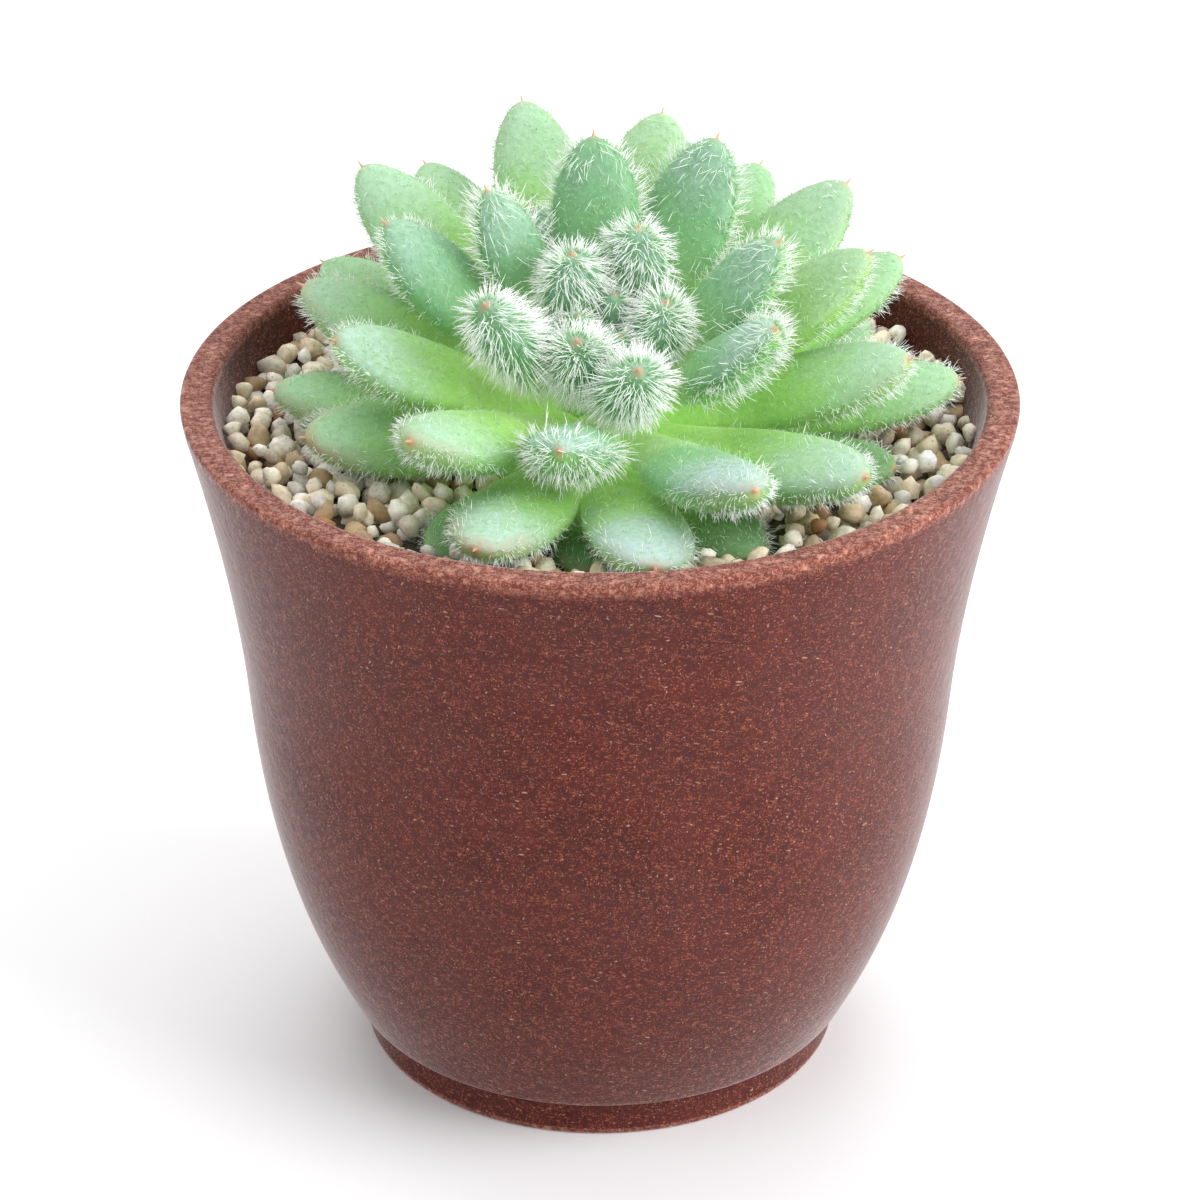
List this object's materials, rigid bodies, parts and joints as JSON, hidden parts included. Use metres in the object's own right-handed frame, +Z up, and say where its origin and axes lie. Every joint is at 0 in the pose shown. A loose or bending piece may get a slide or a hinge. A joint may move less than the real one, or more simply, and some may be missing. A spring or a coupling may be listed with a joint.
{
  "type": "potted succulent",
  "caption": "Rosette of fat, hairy pale-green leaves leaning forward over gravel, in a round flared red-brown wood-fibre pot with a foot ring.",
  "frame": {"origin": "centre of the pot's foot ring, on the surface that the pot stands on", "axes": "+Z up the pot's axis, -Y the front, towards which the rosette leans, +X to the viewer's right"},
  "size_m": [0.0898, 0.0898, 0.1033],
  "materials": {
    "pot": "reddish-brown wood-fibre composite, satin, with fine orange and pale specks and a worn brighter rim",
    "soil": "dark moist potting soil, rough",
    "grit": "rounded cream, beige, white and grey grains, matt",
    "stem": "pale green, fleshy, matt",
    "leaf_young": "young leaves, blue-green, thickly covered in long white hairs",
    "leaf_inner": "mint to blue-green with a pale bloom at the end, short fuzz and longer hairs at the tip",
    "leaf_outer": "yellow-green base to a pale mint end, short white fuzz, small red-brown point",
    "leaf_shaded": "older, darker green leaves in the shade of the rosette"
  },
  "bodies": {
    "root": {"bud_leaf_01": "leaf_young", "bud_leaf_02": "leaf_young", "bud_leaf_03": "leaf_young", "bud_leaf_04": "leaf_young", "bud_leaf_05": "leaf_young", "bud_leaf_06": "leaf_young", "front_leaf_01": "leaf_outer", "front_leaf_02": "leaf_outer", "grit_layer": "grit", "heart_leaf_01": "leaf_young", "heart_leaf_02": "leaf_young", "heart_leaf_03": "leaf_young", "heart_leaf_04": "leaf_young", "inner_leaf_01": "leaf_inner", "inner_leaf_02": "leaf_inner", "inner_leaf_03": "leaf_inner", "inner_leaf_04": "leaf_inner", "middle_leaf_01": "leaf_inner", "middle_leaf_02": "leaf_inner", "middle_leaf_03": "leaf_inner", "middle_leaf_04": "leaf_inner", "middle_leaf_05": "leaf_inner", "middle_leaf_06": "leaf_inner", "outer_leaf_01": "leaf_outer", "outer_leaf_02": "leaf_outer", "outer_leaf_03": "leaf_outer", "outer_leaf_04": "leaf_outer", "outer_leaf_05": "leaf_outer", "outer_leaf_06": "leaf_outer", "outer_leaf_07": "leaf_outer", "outer_leaf_08": "leaf_outer", "outer_leaf_09": "leaf_outer", "pot": "pot", "potting_soil": "soil", "skirt_leaf_01": "leaf_outer", "skirt_leaf_02": "leaf_outer", "skirt_leaf_03": "leaf_outer", "skirt_leaf_04": "leaf_outer", "skirt_leaf_05": "leaf_outer", "skirt_leaf_06": "leaf_outer", "skirt_leaf_07": "leaf_outer", "skirt_leaf_08": "leaf_outer", "skirt_leaf_09": "leaf_outer", "skirt_leaf_10": "leaf_outer", "skirt_leaf_11": "leaf_outer", "skirt_leaf_12": "leaf_outer", "stem": "stem", "under_leaf_01": "leaf_shaded", "under_leaf_02": "leaf_shaded", "under_leaf_03": "leaf_shaded", "under_leaf_04": "leaf_shaded"}
  },
  "joints": []
}
